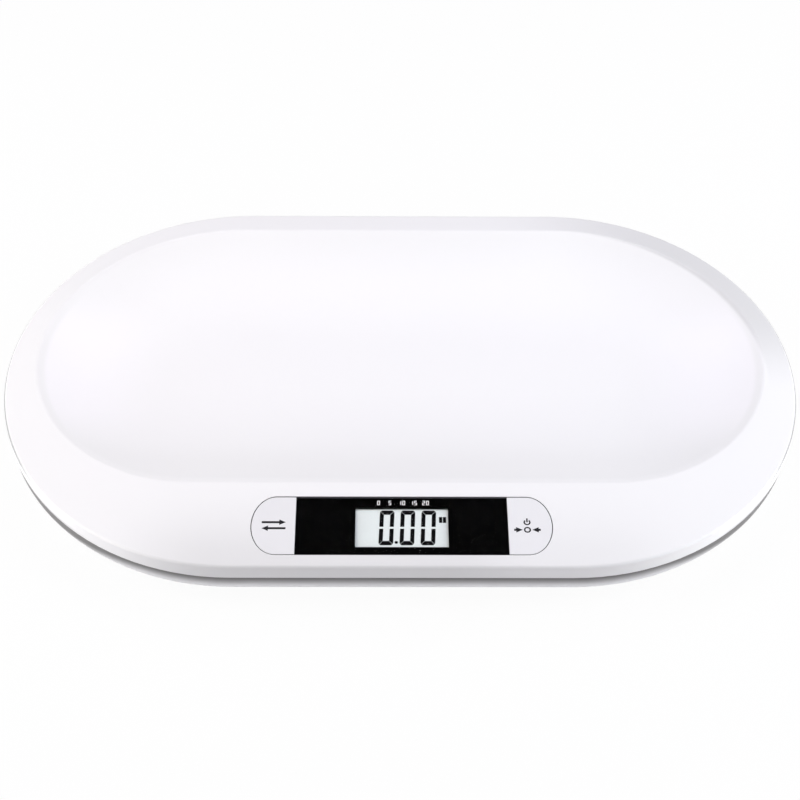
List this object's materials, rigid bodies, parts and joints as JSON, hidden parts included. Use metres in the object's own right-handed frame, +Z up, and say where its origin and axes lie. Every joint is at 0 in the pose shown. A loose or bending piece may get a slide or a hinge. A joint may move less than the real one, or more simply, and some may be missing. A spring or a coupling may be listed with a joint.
{
  "type": "digital baby weighing scale",
  "caption": "Low oval infant scale: dished white tray with a front display and two flush keys, screwed to a base on load-cell feet.",
  "frame": {"origin": "on the table, under the middle of the outline", "axes": "+X to the right of a user who faces the display, +Y away from the user (the display is at -Y), +Z up"},
  "size_m": [0.55, 0.33, 0.0406],
  "materials": {
    "white_shell": "fine gloss moulding",
    "base_shell": "fine matt moulding",
    "key_plastic": "satin moulding",
    "display_window": "clear acrylic",
    "mask_ink": "black printed film",
    "lcd_glass": "grey-green reflective liquid crystal cell",
    "holder_black": "moulded black",
    "zebra_rubber": "layered contact rubber",
    "board_green": "solder-masked glass-fibre laminate",
    "switch_black": "moulded black",
    "socket_white": "moulded natural nylon",
    "screw_steel": "zinc plated",
    "cell_jacket": "plain wrapped sleeve",
    "contact_steel": "nickel plated spring sheet",
    "lead_red": "soft insulation",
    "lead_grey": "soft insulation",
    "foot_rubber": "moulded anti-slip",
    "foot_plastic": "moulded",
    "sensor_steel": "stamped and nickel plated",
    "cover_plastic": "moulded",
    "gauge_potting": "white silicone potting"
  },
  "bodies": {
    "housing": {"tray": "white_shell", "display_lens": "display_window", "display_mask": "mask_ink", "key_switches": "switch_black", "main_board": "board_green", "board_screws": "screw_steel", "board_parts": "switch_black", "lead_sockets": "socket_white", "lcd_glass": "lcd_glass", "lcd_holder": "holder_black", "zebra_strips": "zebra_rubber", "base_shell": "base_shell", "battery_cells": "cell_jacket", "battery_contacts": "contact_steel", "battery_leads": "lead_red", "load_cell_front_left": "sensor_steel", "load_cell_cover_front_left": "cover_plastic", "sensor_lead_front_left": "lead_grey", "load_cell_front_right": "sensor_steel", "load_cell_cover_front_right": "cover_plastic", "sensor_lead_front_right": "lead_grey", "load_cell_rear_left": "sensor_steel", "load_cell_cover_rear_left": "cover_plastic", "sensor_lead_rear_left": "lead_grey", "load_cell_rear_right": "sensor_steel", "load_cell_cover_rear_right": "cover_plastic", "sensor_lead_rear_right": "lead_grey", "strain_gauges": "gauge_potting", "retainer_screws": "screw_steel", "shell_screws": "screw_steel"},
    "unit_button": {"unit_key": "key_plastic", "unit_switch_plunger": "switch_black"},
    "tare_button": {"tare_key": "key_plastic", "tare_switch_plunger": "switch_black"},
    "door": {"battery_door": "base_shell"},
    "foot_front_left": {"foot_pad_front_left": "foot_rubber", "foot_cap_front_left": "foot_plastic"},
    "foot_front_right": {"foot_pad_front_right": "foot_rubber", "foot_cap_front_right": "foot_plastic"},
    "foot_rear_left": {"foot_pad_rear_left": "foot_rubber", "foot_cap_rear_left": "foot_plastic"},
    "foot_rear_right": {"foot_pad_rear_right": "foot_rubber", "foot_cap_rear_right": "foot_plastic"}
  },
  "joints": [
    {"name": "unit_key_press", "type": "slide", "parent": "housing", "child": "unit_button", "axis": [0, 0.0264, -0.9997], "range_m": [0, 0.0005], "stiffness_N_per_m": 2000, "springref_m": -0.0001},
    {"name": "tare_key_press", "type": "slide", "parent": "housing", "child": "tare_button", "axis": [0, 0.0264, -0.9997], "range_m": [0, 0.0005], "stiffness_N_per_m": 2000, "springref_m": -0.0001},
    {"name": "battery_door_hinge", "type": "hinge", "parent": "housing", "child": "door", "pos_m": [0, -0.1455, 0.0083], "axis": [-1, 0, 0], "range_deg": [0, 95]},
    {"name": "foot_front_left_slide", "type": "slide", "parent": "housing", "child": "foot_front_left", "axis": [0, 0, 1], "range_m": [-0.0008, 0]},
    {"name": "foot_front_right_slide", "type": "slide", "parent": "housing", "child": "foot_front_right", "axis": [0, 0, 1], "range_m": [-0.0008, 0]},
    {"name": "foot_rear_left_slide", "type": "slide", "parent": "housing", "child": "foot_rear_left", "axis": [0, 0, 1], "range_m": [-0.0008, 0]},
    {"name": "foot_rear_right_slide", "type": "slide", "parent": "housing", "child": "foot_rear_right", "axis": [0, 0, 1], "range_m": [-0.0008, 0]}
  ]
}
